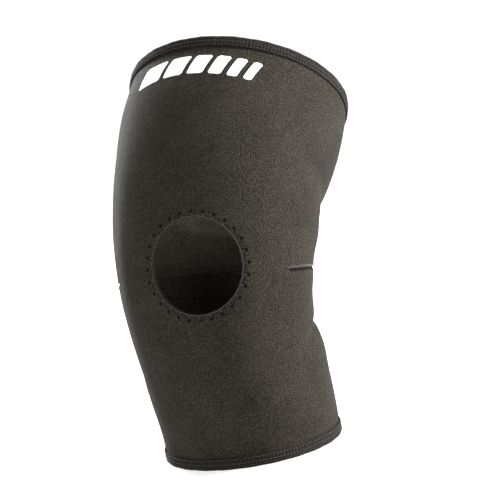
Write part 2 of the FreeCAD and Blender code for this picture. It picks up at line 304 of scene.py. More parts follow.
def slab(grid, count):
    """Faces of a thin closed slab: one side has the vertex numbers of the grid, the other has
    numbers that are higher by count."""
    front = quads(grid)
    rim = rim_of(grid)
    faces = front + [tuple(v + count for v in q[::-1]) for q in front]
    for a, b in zip(rim, rim[1:] + rim[:1]):
        faces.append((a, a + count, b + count, b))
    return faces


def sheet_grid(coarse):
    """Vertices (s, angle), faces and edge loops of the sheet, with the patella opening left out.
    coarse is how many times larger its cells are than the finest."""

    def step_along(s):
        near_dart = bell(s - DART, DART_SPREAD)
        near_opening = bell(s - PATELLA, OPENING_SPREAD)
        return coarse * (CELL_ALONG - CELL_ALONG_CUT * max(near_opening, near_dart))

    def step_round(angle):
        near_seam = bell((math.pi - angle) * NARROW_REACH, SEAM_SPREAD)
        near_front = bell(angle, FRONT_SPREAD)
        return coarse * (CELL_ROUND - SEAM_CUT * near_seam - FRONT_CUT * near_front) / HALF_WIDTH[3]

    rows = stations(SHEET_END, LENGTH - SHEET_END, step_along)
    half = stations(0.0, math.pi - SEAM_HALF_SLOT / NARROW_REACH, step_round)
    columns = np.concatenate([-half[:0:-1], half])
    s, angle = [a.copy() for a in np.meshgrid(rows, columns, indexing="ij")]

    # the block of cells round the opening
    across, up = front_place(s, angle)
    front = np.cos(angle - PATELLA_TURN) > 0.3
    middle_column = int(np.argmin(np.abs(columns - PATELLA_TURN)))
    middle_row = int(np.argmin(np.abs(rows - PATELLA)))
    near_rows = np.abs(up[:, middle_column]) < PATELLA_HALF_HEIGHT * BLOCK_SHARE
    near_columns = np.abs(across[middle_row]) < PATELLA_HALF_WIDTH * BLOCK_SHARE
    inside_rows = np.where(near_rows)[0]
    inside_columns = np.where(near_columns & front[middle_row])[0]
    low_row, high_row = inside_rows[0], inside_rows[-1]
    low_column, high_column = inside_columns[0], inside_columns[-1]
    keep = np.ones(s.shape, bool)
    keep[low_row + 1:high_row, low_column + 1:high_column] = False
    number = np.full(s.shape, -1)
    number[keep] = np.arange(keep.sum())
    faces = [q for q in quads(number) if min(q) >= 0]
    block = (slice(low_row, high_row + 1), slice(low_column, high_column + 1))
    ring = rim_of(number[block])
    edge_across, edge_up = np.array(rim_of(across[block])), np.array(rim_of(up[block]))

    # rings from the block's edge in to the opening
    turn = np.unwrap(np.arctan2(edge_across / PATELLA_HALF_WIDTH, edge_up / PATELLA_HALF_HEIGHT))
    even = turn[0] + (turn[-1] - turn[0]) * np.arange(len(ring)) / (len(ring) - 1)
    turn = (turn + even) / 2
    ring_count = max(FEWEST_RINGS, round(FINEST_RINGS / coarse))
    total = keep.sum()
    places_s, places_angle = [s[keep]], [angle[keep]]
    for k in range(1, ring_count + 1):
        t = 1 - (1 - k / ring_count) ** RING_CROWDING
        ring_across = edge_across * (1 - t) + PATELLA_HALF_WIDTH * np.sin(turn) * t
        ring_up = edge_up * (1 - t) + PATELLA_HALF_HEIGHT * np.cos(turn) * t
        ring_s, ring_angle = from_front(ring_across, ring_up)
        places_s.append(ring_s)
        places_angle.append(ring_angle)
        new = list(range(total, total + len(ring)))
        total += len(ring)
        for m in range(len(ring)):
            n = (m + 1) % len(ring)
            faces.append((ring[m], ring[n], new[n], new[m]))
        ring = new
    return {
        "s": np.concatenate(places_s),
        "angle": np.concatenate(places_angle),
        "faces": faces,
        "outside": rim_of(number),
        "opening": ring,
    }


def shell(name, grid, outer, inner, opening_bulge=0.0):
    """A closed sheet between two depths. outer and inner are heights above the smooth outside, one per
    vertex; opening_bulge rounds the cut edge out into the patella opening."""
    s, angle = grid["s"], grid["angle"]
    base, normal = base_surface(s, angle), outward(s, angle)
    top = base + normal * outer[:, None]
    bottom = base + normal * inner[:, None]
    count = len(s)
    faces = list(grid["faces"]) + [tuple(v + count for v in f[::-1]) for f in grid["faces"]]
    points = [top, bottom]
    total = 2 * count
    for loop, bulge in ((grid["outside"], 0.0), (grid["opening"], opening_bulge)):
        loop = np.array(loop)
        high, low = top[loop], bottom[loop]
        rows = [loop]
        if bulge > 0:
            middle = base_surface(np.array([PATELLA]), np.array([PATELLA_TURN]))[0]
            inwards = unit(middle - (high + low) / 2)
            for t in (0.2, 0.5, 0.8):
                points.append(high * (1 - t) + low * t + inwards * bulge * math.sin(math.pi * t))
                rows.append(np.arange(total, total + len(loop)))
                total += len(loop)
        rows.append(loop + count)
        for first, second in zip(rows[:-1], rows[1:]):
            for m in range(len(loop)):
                n = (m + 1) % len(loop)
                faces.append((first[m], second[m], second[n], first[n]))
    made = new_mesh(name, np.concatenate(points), faces)
    give_cloth(made, s, angle, total)
    return made


def new_mesh(name, points, faces):
    """A closed mesh made from millimetres, with its faces turned outwards."""
    mesh = bpy.data.meshes.new(name)
    mesh.from_pydata((points * MM).tolist(), [], [tuple(int(v) for v in f) for f in faces])
    mesh.validate()
    turned = bmesh.new()
    turned.from_mesh(mesh)
    bmesh.ops.recalc_face_normals(turned, faces=turned.faces)
    turned.to_mesh(mesh)
    turned.free()
    mesh.shade_smooth()
    made = bpy.data.objects.new(name, mesh)
    bpy.context.scene.collection.objects.link(made)
    return made


def store(made, name, vectors):
    """Stores a vector for each point of a mesh, for its material to read."""
    attribute = made.data.attributes.new(name, "FLOAT_VECTOR", "POINT")
    attribute.data.foreach_set("vector", vectors.astype(np.float32).ravel())


def give_cloth(made, s, angle, total):
    """Stores each point's place on the flat cloth, in metres, for the knit: the same for the two
    sides of a shell, and one place for all of its rounded edge."""
    flat = np.stack([arc_round(s, angle), arc_along(s, angle), np.zeros_like(s)], -1) * MM
    edge = np.repeat(flat[-1:], total - 2 * len(flat), axis=0)
    store(made, "cloth", np.concatenate([flat, flat, edge]))


def give_marks(made, s, angle, seams):
    """Stores, for the needle holes and seams, each point's place round the opening counted in
    stitches, its distance out from the cut edge and its distance from the nearest seam, both in
    millimetres. seams is whether the layer shows its seams."""
    out, turn = opening_distance(s, angle)
    before_tip = np.maximum(dart_tip(angle) - np.abs(angle), 0) * HALF_WIDTH[3]
    back = arc_round(s, np.full_like(s, math.pi)) - np.abs(arc_round(s, angle))
    seam = np.minimum(np.hypot(from_dart(s, angle), before_tip), back)
    if not seams:
        seam = np.full_like(s, FAR_OUT)
    place = turn * PATELLA_STITCHES / (2 * math.pi)
    filled = np.full((len(made.data.vertices), 3), FAR_OUT)
    filled[:len(s)] = np.stack([place, np.clip(out, -FAR_OUT, FAR_OUT), seam], -1)
    store(made, "marks", filled)


def sheet_layer(name, coarse, depth_top, depth_bottom, detail, bulge):
    """One layer of the sheet, hem to hem. detail is how much of the outer face's relief it shows, and
    bulge how far its cut edge rounds out into the patella opening."""
    grid = sheet_grid(coarse)
    s, angle = grid["s"], grid["angle"]
    shape = folds(s, angle)
    relief = skin(s, angle) if detail else np.zeros_like(s)
    out, _ = opening_distance(s, angle)
    pinch = EDGE_PINCH * bell(np.maximum(out, 0), EDGE_PINCH_WIDTH)

    def height(depth):
        return shape - depth - (SHEET / 2 - depth) * pinch + relief * detail

    top, bottom = height(depth_top), height(depth_bottom)
    made = shell(name, grid, top, bottom, bulge)
    give_marks(made, s, angle, seams=detail == 1.0)
    return made


# ---- Tapes and threads ----

def hem_frame(end):
    """The matrix, in millimetres, that puts a ring made round +Z at the origin on a hem."""
    if end == "calf":
        return Matrix.Identity(4)
    turn = Matrix.Rotation(math.pi - LEAN[-1], 4, "X")
    return Matrix.Translation((0, CENTRE_Y[-1], CENTRE_Z[-1])) @ turn


def place_ring(points, end):
    m = np.array(hem_frame(end))
    return points @ m[:3, :3].T + m[:3, 3]


def hem_radius(end):
    return HALF_WIDTH[0] if end == "calf" else HALF_WIDTH[-1]


HEM_STITCH = 2.25


def hem_stitch_count(end):
    return round(2 * math.pi * (hem_radius(end) + TAPE) / HEM_STITCH)


TAPE_FOLD = 1.25            # radius of the tape's fold under the sheet's raw edge
ROW_DIP, HOLE_DIP, ROW_WIDTH = 0.12, 0.22, 0.55
PUFF, PUFF_WIDTH = 0.16, 0.8                        # of the tape between its two rows
# Small waves along the fold: height, count, shift, slant, and up to where they reach
FOLD_WAVES = ((0.10, 23, 0.0, 0.4, 2.2), (0.05, 61, 1.3, 0.0, 3.0))
CURL_LENGTH, OUTER_CURL, INNER_CURL = 0.9, 0.35, 0.3
SCALLOP, SCALLOP_LENGTH = 0.10, 0.8
POINTS_A_STITCH = 6


def tape_profile(end):
    """Cross-section of a tape: for each point its radius and height, and the outward direction."""
    r_out = hem_radius(end) + TAPE_FIT + TAPE
    r_in = hem_radius(end) - SHEET - TAPE_FIT - TAPE
    outside = [(r_out, z, 1.0, 0.0) for z in np.linspace(BINDING_OUTER_LEG, TAPE_FOLD, 19)]
    for middle, turns in (
        (r_out - TAPE_FOLD, np.linspace(0, math.pi / 2, 6)[1:]),
        (r_in + TAPE_FOLD, np.linspace(math.pi / 2, math.pi, 6)),
    ):
        for a in turns:
            place = (middle + TAPE_FOLD * math.cos(a), TAPE_FOLD - TAPE_FOLD * math.sin(a))
            outside.append((*place, math.cos(a), -math.sin(a)))
    outside += [(r_in, z, -1.0, 0.0) for z in np.linspace(TAPE_FOLD, BINDING_INNER_LEG, 12)[1:]]
    inside = [(r - nr * TAPE, z - nz * TAPE, nr, nz) for r, z, nr, nz in outside[::-1]]
    return np.array(outside + inside), len(outside)


def tape_curl(z, nr):
    """How far the tape's two raw edges curl down onto the sheet."""
    outer = np.clip((z - (BINDING_OUTER_LEG - CURL_LENGTH)) / CURL_LENGTH, 0, 1) ** 2 * (nr > 0.99)
    inner = np.clip((z - (BINDING_INNER_LEG - CURL_LENGTH)) / CURL_LENGTH, 0, 1) ** 2 * (nr < -0.99)
    return OUTER_CURL * outer + INNER_CURL * inner


def binding(end):
    """The folded tape, with its fold, pressed in where the rows of stitches pull it down."""
    profile, outer_count = tape_profile(end)
    count = len(profile)
    stitches = hem_stitch_count(end)
    around = stitches * POINTS_A_STITCH
    turn = 2 * math.pi * np.arange(around)[:, None] / around
    r, z, nr, nz = [profile[:, k][None, :] for k in range(4)]
    phase = turn * stitches
    on_leg = (np.abs(nr) > 0.99) & (z > 0)
    hole = 0.5 + 0.5 * np.cos(phase)
    relief = np.zeros((around, count))
    for row in HEM_ROWS:
        relief += on_leg * bell(z - row, ROW_WIDTH) * -(ROW_DIP + HOLE_DIP * hole**3)
    relief += on_leg * PUFF * bell(z - sum(HEM_ROWS) / 2, PUFF_WIDTH)
    for height, waves, shift, slant, top in FOLD_WAVES:
        relief += height * np.sin(turn * waves + shift + z * slant) * (z < top)
    curl = tape_curl(z, nr)
    outside = np.arange(count) < outer_count
    offset = np.where(outside, relief - curl, np.minimum(relief, 0) * 0.6 - curl * 0.4)
    scallop = np.where(z > BINDING_OUTER_LEG - SCALLOP_LENGTH, -SCALLOP * np.cos(phase), 0.0)
    radius = r + nr * offset
    height = np.maximum(z + nz * offset + scallop, 0.0)
    points = np.stack([radius * np.sin(turn), -radius * np.cos(turn), height], -1)
    closed = np.arange(around * count).reshape(around, count)
    closed = np.concatenate([closed, closed[:1]])
    closed = np.concatenate([closed, closed[:, :1]], axis=1)
    made = new_mesh(f"{end}_hem_binding", place_ring(points.reshape(-1, 3), end), quads(closed))
    step = np.hypot(np.diff(profile[:, 0]), np.diff(profile[:, 1]))
    flat = np.zeros((around, count, 3))
    flat[..., 0] = turn * (hem_radius(end) + TAPE_FIT + TAPE)
    flat[..., 1] = np.concatenate([[0], np.cumsum(step)])
    store(made, "cloth", flat * MM)
    marks = np.zeros((around, count, 3))
    marks[..., 0] = phase / (2 * math.pi)
    marks[..., 1] = np.where(on_leg, z, FAR_OUT)
    store(made, "marks", marks)
    return made


THREAD_STEPS = 7
THREAD_SIDES = 6
THREAD_TAPER = 0.35         # share of a thread's thickness that it loses towards its ends
STITCH_GAP = 0.07           # share of a stitch hidden in the needle holes at each end


def threads(name, starts, ends, normals, radius, arch, sink):
    """Visible stitches as short arched threads: each dips into its two needle holes."""
    t = np.linspace(0, 1, THREAD_STEPS)
    bow = np.sin(math.pi * t)
    height = arch * bow**0.5 - sink * (1 - bow**0.35)
    thick = radius * (1 - THREAD_TAPER + THREAD_TAPER * bow**0.5)
    normals = unit(normals)
    line = ends - starts
    side = unit(np.cross(line, normals))
    path = starts[:, None] + line[:, None] * t[:, None] + normals[:, None] * height[:, None]
    spin = 2 * math.pi * np.arange(THREAD_SIDES)[:, None] / THREAD_SIDES
    ring = side[:, None, None] * np.cos(spin) + normals[:, None, None] * np.sin(spin)
    points = path[:, :, None] + ring * thick[:, None, None]
    tube = np.arange(THREAD_STEPS * THREAD_SIDES).reshape(THREAD_STEPS, THREAD_SIDES)
    wall = quads(np.concatenate([tube, tube[:, :1]], axis=1))
    caps = [tuple(tube[0, ::-1]), tuple(tube[-1])]
    faces = []
    for k in range(len(starts)):
        first = k * tube.size
        faces += [tuple(first + v for v in face) for face in wall + caps]
    return new_mesh(name, points.reshape(-1, 3), faces)


def hem_threads(end, row, index):
    """One straight row of lockstitches round a hem, outside and inside."""
    count = hem_stitch_count(end)
    starts, stops, normals = [], [], []
    outside = hem_radius(end) + TAPE_FIT + TAPE
    inside = hem_radius(end) - SHEET - TAPE_FIT - TAPE
    for radius, sign in ((outside, 1), (inside, -1)):
        turn = 2 * math.pi * np.arange(count + 1) / count
        ring = np.stack([radius * np.sin(turn), -radius * np.cos(turn), np.full_like(turn, row)], -1)
        middle = turn[:-1] + math.pi / count
        ring = place_ring(ring, end)
        out = np.stack([np.sin(middle), -np.cos(middle), np.zeros_like(middle)], -1) * sign
        normals.append(out @ np.array(hem_frame(end))[:3, :3].T)
        gap = (ring[1:] - ring[:-1]) * STITCH_GAP
        starts.append(ring[:-1] + gap)
        stops.append(ring[1:] - gap)
    rows = [np.concatenate(part) for part in (starts, stops, normals)]
    return threads(f"{end}_hem_{index}_thread", *rows, radius=0.19, arch=0.12, sink=0.3)


def face_point(s, angle, lift=0.0):
    """A point on the finished outer face, and its normal."""
    s, angle = np.atleast_1d(np.asarray(s, float)), np.atleast_1d(np.asarray(angle, float))
    n = outward(s, angle)
    return base_surface(s, angle) + n * (folds(s, angle) + skin(s, angle) + lift)[:, None], n


ZIGZAG_START = 0.035        # radians before the dart's tip
ZIGZAG_END = 0.03           # radians before the back seam
DART_ZIGZAG_STEP = 1.15 / 60                        # radians round the leg
DART_ZIGZAG = (2.3, 0.7)                            # above the dart's line
DART_LEAN_RATE = 0.0113     # radians that the leg leans in each millimetre at the darts
SEAM_ZIGZAG_STEP = 1.3
SEAM_ZIGZAG_REACH = 1.7
SEAM_ZIGZAG_CLEAR = 0.8     # between the tape's edge and the first stitch


def zigzag(name, s, angle, radius, arch, sink):
    """One thread that runs from each place on the face to the next."""
    points, normals = face_point(s, angle, 0.1)
    middle = (normals[:-1] + normals[1:]) / 2
    return threads(name, points[:-1], points[1:], middle, radius, arch, sink)


def dart_threads(side):
    """Close zigzag over one dart, from just past its tip to the back seam."""
    tip = RIGHT_DART_TIP if side > 0 else LEFT_DART_TIP
    turn = np.arange(tip - ZIGZAG_START, math.pi - ZIGZAG_END, DART_ZIGZAG_STEP)
    above = np.where(np.arange(len(turn)) % 2 == 0, *DART_ZIGZAG)
    rate = 1.0 + BACK_REACH[3] * np.cos(turn) * DART_LEAN_RATE
    s = DART + above / np.maximum(rate, 0.35)
    name = ("right" if side > 0 else "left") + "_dart_thread"
    return zigzag(name, s, side * turn, radius=0.2, arch=0.3, sink=0.15)


def seam_threads():
    """Flat zigzag that joins the two edges at the back seam, hem to hem."""
    clear = BINDING_OUTER_LEG + SEAM_ZIGZAG_CLEAR
    s = np.arange(clear, LENGTH - clear, SEAM_ZIGZAG_STEP)
    turn = math.pi - SEAM_ZIGZAG_REACH * math.pi / arc_round(s, np.full_like(s, math.pi))
    turn = np.where(np.arange(len(s)) % 2 == 0, turn, -turn)
    return zigzag("back_seam_thread", s, turn, radius=0.17, arch=0.25, sink=0.18)


def beside_opening(turn, out):
    across = (PATELLA_HALF_WIDTH + out) * np.sin(turn)
    up = (PATELLA_HALF_HEIGHT + out) * np.cos(turn)
    return from_front(across, up)


EDGE_PARTS = 5              # pieces of the thread along the cut edge for each stitch
EDGE_WOBBLE = 0.12


def opening_threads():
    """Overedge stitching: a thread lies along the cut edge, and from each needle hole another runs
    in to it."""
    step = 2 * math.pi / PATELLA_STITCHES
    turn = step * np.arange(PATELLA_STITCHES)
    hole, hole_normal = face_point(*beside_opening(turn, NEEDLE_LINE - 0.5), 0.05)
    rim, _ = face_point(*beside_opening(turn + step * 0.06, 0.2), 0.2)
    fine = step / EDGE_PARTS * np.arange(PATELLA_STITCHES * EDGE_PARTS)
    wobble = EDGE_WOBBLE * np.sin(fine * PATELLA_STITCHES)
    edge, edge_normal = face_point(*beside_opening(fine, 0.1 + wobble), 0.12)
    starts = np.concatenate([hole, edge])
    ends = np.concatenate([rim, np.roll(edge, -1, axis=0)])
    normals = np.concatenate([hole_normal, edge_normal])
    return threads("patella_edge_thread", starts, ends, normals, radius=0.22, arch=0.12, sink=0.05)


# ---- Print and label ----

FILM_TOP, FILM_BOTTOM = 0.12, -0.05                 # above the face
BAR_CORNER = 1.1
BAR_POINTS_UP, BAR_POINTS_ACROSS = 16, 14


def on_print_view(x, h):
    """The place (s, angle) of a point given on a flat view square to the leg at the print's middle."""
    lean = smooth(LEAN, np.array(PRINT_MIDDLE))
    y0 = np.interp(PRINT_MIDDLE, CENTRE_S, CENTRE_Y)
    z0 = np.interp(PRINT_MIDDLE, CENTRE_S, CENTRE_Z)
    s = np.full_like(x, PRINT_MIDDLE)
    for _ in range(40):
        angle = np.arcsin(np.clip(x / smooth(HALF_WIDTH, s), -1, 1))
        p = base_surface(s, angle)
        got = (p[:, 1] - y0) * np.sin(lean) + (p[:, 2] - z0) * np.cos(lean)
        s = s + (h - got) * 0.6
    return s, angle


def front_print():
    """Slanted bars of white film that follow the cloth, graded from wide to narrow."""
    points, faces = [], []
    total = sum(PRINT_BARS) + PRINT_GAP * (len(PRINT_BARS) - 1)
    left = PRINT_SIDE - total / 2
    half_height = PRINT_HEIGHT / 2
    count = BAR_POINTS_UP * BAR_POINTS_ACROSS
    grid = np.arange(count).reshape(BAR_POINTS_ACROSS, BAR_POINTS_UP).T
    across = np.linspace(-1, 1, BAR_POINTS_ACROSS)
    uu, vv = np.meshgrid(across, np.linspace(-1, 1, BAR_POINTS_UP), indexing="ij")
    for number, width in enumerate(PRINT_BARS):
        half = width / 2
        # rounded corners: the ends pull in along the short sides
        corner = np.maximum(0, np.abs(vv) * half_height - (half_height - BAR_CORNER))
        pull = BAR_CORNER - np.sqrt(np.maximum(BAR_CORNER**2 - corner**2, 0))
        x = left + half + uu * (half - pull) + vv * half_height * math.tan(PRINT_SLANT)
        s, angle = on_print_view(x.ravel(), (vv * half_height).ravel())
        points += [face_point(s, angle, lift)[0] for lift in (FILM_TOP, FILM_BOTTOM)]
        faces += slab(grid + 2 * count * number, count)
        left += width + PRINT_GAP
    return new_mesh("front_print_bars", np.concatenate(points), faces)


def care_label():
    """A small blank label on the lining, its lower end curling away a little."""
    top = LENGTH - BINDING_INNER_LEG - LABEL_GAP
    rows = np.linspace(top - LABEL_LENGTH, top, 14)
    turns = np.linspace(math.pi - LABEL_HALF_ANGLE, math.pi + LABEL_HALF_ANGLE, 24)
    s, angle = [a.ravel() for a in np.meshgrid(rows, turns, indexing="ij")]
    free = (LENGTH - BINDING_INNER_LEG - s) / LABEL_LENGTH
    depth = SHEET + LABEL_GAP + LABEL_CURL * free**3
    n = outward(s, angle)
    base = base_surface(s, angle) + n * folds(s, angle)[:, None]
    points = [base - n * d[:, None] for d in (depth, depth + LABEL_THICKNESS)]
    grid = np.arange(len(s)).reshape(len(rows), len(turns))
    return new_mesh("blank_care_label", np.concatenate(points), slab(grid, len(s)))


# ---- Materials ----

# Heights of the bumps, in metres
KNIT_RELIEF = 0.0013
TAPE_RELIEF = 0.0009
PORE_RELIEF = 0.00012
FINE_RELIEF = 0.00006
FILM_RELIEF = 0.00008
CLOTH_SPECULAR = 0.07
# Near black painted as shade in the needle holes and seam slits
HOLE_AND_SLIT_SHADE = (0.0015, 0.0013, 0.001)
WARM = (1.0, 0.88, 0.76)


class Nodes:
    """Short ways to add and join shader nodes."""

    def __init__(self, name):
        self.material = bpy.data.materials.new(name)
        self.material.use_nodes = True
        self.tree = self.material.node_tree
        self.tree.nodes.clear()
        self.shader = self.add("ShaderNodeBsdfPrincipled")
        self.output = self.add("ShaderNodeOutputMaterial")
        self.join(self.shader.outputs[0], self.output.inputs["Surface"])

    def add(self, kind, **settings):
        node = self.tree.nodes.new(kind)
        for key, value in settings.items():
            setattr(node, key, value)
        return node

    def join(self, source, target):
        self.tree.links.new(source, target)

    def cloth(self, turn=0.0, stretch=(1.0, 1.0)):
        """Places on the flat cloth, in millimetres."""
        source = self.add("ShaderNodeAttribute", attribute_name="cloth")
        mapping = self.add("ShaderNodeMapping")
        mapping.inputs["Scale"].default_value = (stretch[0] / MM, stretch[1] / MM, 1 / MM)
        mapping.inputs["Rotation"].default_value = (0, 0, turn)
        self.join(source.outputs["Vector"], mapping.inputs["Vector"])
        return mapping.outputs["Vector"]

    def place(self):
        """Places in the object, in millimetres."""
        source = self.add("ShaderNodeTexCoord")
        mapping = self.add("ShaderNodeMapping")
        mapping.inputs["Scale"].default_value = (1 / MM, 1 / MM, 1 / MM)
        self.join(source.outputs["Object"], mapping.inputs["Vector"])
        return mapping.outputs["Vector"]

    def noise(self, vector, scale, detail=2.0, rough=0.5, distort=0.0):
        node = self.add("ShaderNodeTexNoise")
        node.inputs["Scale"].default_value = scale
        node.inputs["Detail"].default_value = detail
        node.inputs["Roughness"].default_value = rough
        node.inputs["Distortion"].default_value = distort
        self.join(vector, node.inputs["Vector"])
        return node.outputs[0]

    def cells(self, vector, scale):
        node = self.add("ShaderNodeTexVoronoi", feature="F1")
        node.inputs["Scale"].default_value = scale
        self.join(vector, node.inputs["Vector"])
        return node.outputs["Distance"]

    def wave(self, vector, scale, direction, distort=0.0):
        node = self.add("ShaderNodeTexWave", bands_direction=direction)
        node.inputs["Scale"].default_value = scale
        node.inputs["Distortion"].default_value = distort
        node.inputs["Detail"].default_value = 1.0
        node.inputs["Detail Scale"].default_value = 1.5
        self.join(vector, node.inputs["Vector"])
        return node.outputs["Fac"]

    def math(self, how, a, b):
        node = self.add("ShaderNodeMath", operation=how)
        for value, socket in ((a, node.inputs[0]), (b, node.inputs[1])):
            if isinstance(value, (int, float)):
                socket.default_value = value
            else:
                self.join(value, socket)
        return node.outputs[0]

    def stretch(self, value, low, high, to_low=0.0, to_high=1.0):
        node = self.add("ShaderNodeMapRange", interpolation_type="SMOOTHSTEP")
        limits = {"From Min": low, "From Max": high, "To Min": to_low, "To Max": to_high}
        for key, number in limits.items():
            node.inputs[key].default_value = number
        self.join(value, node.inputs["Value"])
        return node.outputs[0]

    def blend(self, factor, low, high):
        node = self.add("ShaderNodeMix", data_type="RGBA")
        self.join(factor, node.inputs["Factor"])
        for value, socket in ((low, node.inputs[6]), (high, node.inputs[7])):
            if isinstance(value, tuple):
                socket.default_value = (*value, 1.0)
            else:
                self.join(value, socket)
        return node.outputs[2]

    def marks(self):
        """The three numbers stored for the needle holes and seams."""
        source = self.add("ShaderNodeAttribute", attribute_name="marks")
        split = self.add("ShaderNodeSeparateXYZ")
        self.join(source.outputs["Vector"], split.inputs[0])
        return split.outputs

    def hole(self, place, spacing, away, low, high):
        """1 within low millimetres of a needle hole and 0 beyond high. place counts stitches along
        the row, and away is the distance from the row."""
        aside = self.math("SUBTRACT", place, self.math("ROUND", place, 0.0))
        aside = self.math("MULTIPLY", aside, spacing)
        far = self.math("ADD", self.math("MULTIPLY", aside, aside), self.math("MULTIPLY", away, away))
        return self.stretch(self.math("SQRT", far, 0.0), low, high, 1.0, 0.0)

    def finish(self, colour, height, depth, rough, sheen=0.0, tint=(1, 1, 1), specular=0.15):
        """colour and height are node outputs; depth is the height's size in metres."""
        bump = self.add("ShaderNodeBump")
        bump.inputs["Strength"].default_value = 1.0
        bump.inputs["Distance"].default_value = depth
        self.join(height, bump.inputs["Height"])
        self.join(bump.outputs[0], self.shader.inputs["Normal"])
        self.join(colour, self.shader.inputs["Base Color"])
        self.shader.inputs["Roughness"].default_value = rough
        self.shader.inputs["Specular IOR Level"].default_value = specular
        self.shader.inputs["Sheen Weight"].default_value = sheen
        self.shader.inputs["Sheen Roughness"].default_value = 0.4
        self.shader.inputs["Sheen Tint"].default_value = (*tint, 1.0)
        return self.material


def jersey(name, dark, light, sheen):
    """Fine knit whose loops catch the light in a maze of short specks."""
    n = Nodes(name)
    flat = n.cloth()
    maze = n.stretch(n.noise(flat, 0.95, 1.5, 0.5, 0.8), 0.42, 0.58)
    loops = n.cells(n.cloth(stretch=(1.0, 0.8)), 1.25)
    fine = n.wave(n.cloth(turn=math.radians(45)), 0.42, "X", 2.0)
    height = n.math("ADD", n.math("MULTIPLY", maze, 0.75), n.math("MULTIPLY", loops, 0.4))
    height = n.math("ADD", height, n.math("MULTIPLY", fine, 0.1))
    patches = n.stretch(n.noise(flat, 0.035, 3.0), 0.3, 0.7)
    worn = n.stretch(n.noise(flat, 0.16, 4.0, 0.6), 0.35, 0.75)
    shade = n.math("ADD", n.math("MULTIPLY", height, 0.55), n.math("MULTIPLY", patches, 0.14))
    shade = n.math("ADD", shade, n.math("MULTIPLY", worn, 0.12))
    # Painted shade: the needle holes and seam slits are coloured near black, and also dented in the
    # bump
    painted_shade_mask = hole_and_seam_shade_mask(n)
    whole = n.math("SUBTRACT", 1.0, painted_shade_mask)
    colour = n.blend(n.math("MULTIPLY", shade, whole), dark, light)
    colour = n.blend(painted_shade_mask, colour, HOLE_AND_SLIT_SHADE)
    height = n.math("SUBTRACT", height, n.math("MULTIPLY", painted_shade_mask, 1.5))
    return n.finish(colour, height, KNIT_RELIEF, 0.75, sheen, WARM, CLOTH_SPECULAR)


def hole_and_seam_shade_mask(n):
    """Mask of painted shade: 1 in the needle holes beside the patella opening and along the seams,
    where holes and slits lie in shade, 0 elsewhere.
    """
    place, out, seam = n.marks()
    spacing = 2 * math.pi * (PATELLA_HALF_WIDTH + NEEDLE_LINE) / PATELLA_STITCHES
    hole = n.hole(place, spacing, n.math("SUBTRACT", out, NEEDLE_LINE), 0.65, 1.3)
    return n.math("MAXIMUM", hole, n.stretch(seam, 0.7, 1.5, 1.0, 0.0))


def rib_tape():
    """Stretch binding with a fine slanted rib, and painted shade, near black, in each needle hole."""
    n = Nodes("ribbed_tape")
    flat = n.cloth()
    ribs = n.wave(n.cloth(turn=math.radians(62)), 0.30, "X", 3.0)
    loops = n.cells(n.cloth(stretch=(1.3, 0.8)), 1.2)
    maze = n.stretch(n.noise(flat, 1.0, 2.0, 0.6, 0.5), 0.42, 0.58)
    height = n.math("ADD", n.math("MULTIPLY", ribs, 0.35), n.math("MULTIPLY", loops, 0.35))
    height = n.math("ADD", height, n.math("MULTIPLY", maze, 0.5))
    place, above, _ = n.marks()
    upper, lower = [
        n.hole(place, HEM_STITCH, n.math("SUBTRACT", above, row - 0.35), 0.35, 0.85) for row in HEM_ROWS
    ]
    # Painted shade: near black in the needle holes of both rows
    painted_shade_mask = n.math("MAXIMUM", upper, lower)
    shade = n.math("MULTIPLY", height, 0.8)
    colour = n.blend(shade, (0.0030, 0.0026, 0.0021), (0.036, 0.0318, 0.026))
    colour = n.blend(painted_shade_mask, colour, HOLE_AND_SLIT_SHADE)
    height = n.math("SUBTRACT", height, painted_shade_mask)
    return n.finish(colour, height, TAPE_RELIEF, 0.75, 0.02, (1.0, 0.90, 0.80), CLOTH_SPECULAR)


def foam():
    n = Nodes("closed_cell_foam")
    place = n.place()
    pores = n.cells(place, 2.4)
    grain = n.noise(place, 0.9, 3.0)
    colour = n.blend(grain, (0.010, 0.010, 0.010), (0.026, 0.025, 0.024))
    return n.finish(colour, pores, PORE_RELIEF, 0.75)


def thread_material(name, dark, light):
    n = Nodes(name)
    place = n.place()
    twist = n.wave(place, 1.1, "DIAGONAL", 1.5)
    tone = n.noise(place, 0.5, 2.0)
    colour = n.blend(n.math("MULTIPLY", n.math("ADD", twist, tone), 0.5), dark, light)
    return n.finish(colour, twist, FINE_RELIEF, 0.6, 0.2)


def film_material():
    n = Nodes("white_film")
    place = n.place()
    knit = n.noise(place, 0.9, 2.0, 0.5, 0.4)
    dust = n.stretch(n.noise(place, 0.12, 4.0, 0.65), 0.3, 0.7)
    colour = n.blend(dust, (0.90, 0.89, 0.875), (0.95, 0.945, 0.935))
    return n.finish(colour, knit, FILM_RELIEF, 0.55)


def label_material():
    n = Nodes("blank_label")
    place = n.place()
    weave = n.wave(place, 0.8, "Z", 0.4)
    tone = n.noise(place, 0.3, 3.0)
    colour = n.blend(tone, (0.62, 0.61, 0.585), (0.78, 0.77, 0.745))
    return n.finish(colour, weave, FINE_RELIEF, 0.5, 0.1)


JERSEY = jersey("outer_jersey", (0.0030, 0.0026, 0.0019), (0.054, 0.0465, 0.0350), 0.02)
LINING_KNIT = jersey("lining_jersey", (0.008, 0.0069, 0.0051), (0.085, 0.074, 0.056), 0.03)
TAPE_KNIT = rib_tape()
FOAM_EDGE = foam()
THREAD = thread_material("sewing_thread", (0.022, 0.020, 0.017), (0.085, 0.076, 0.064))
DART_THREAD = thread_material("dart_sewing_thread", (0.05, 0.044, 0.037), (0.20, 0.178, 0.15))
FILM = film_material()
LABEL = label_material()


# ---- The pieces ----


def settle(made, material, replaced, body=None):
    """Gives a piece its finish, hides the CAD nodes that it stands for and sets what it moves with."""
    made.data.materials.append(material)
    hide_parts(*replaced)
    if body:
        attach(made, body)
    else:
        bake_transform(made)
    return made


def three_zones(layer):
    return [f"{zone}_{layer}" for zone in ("calf", "knee", "thigh")]


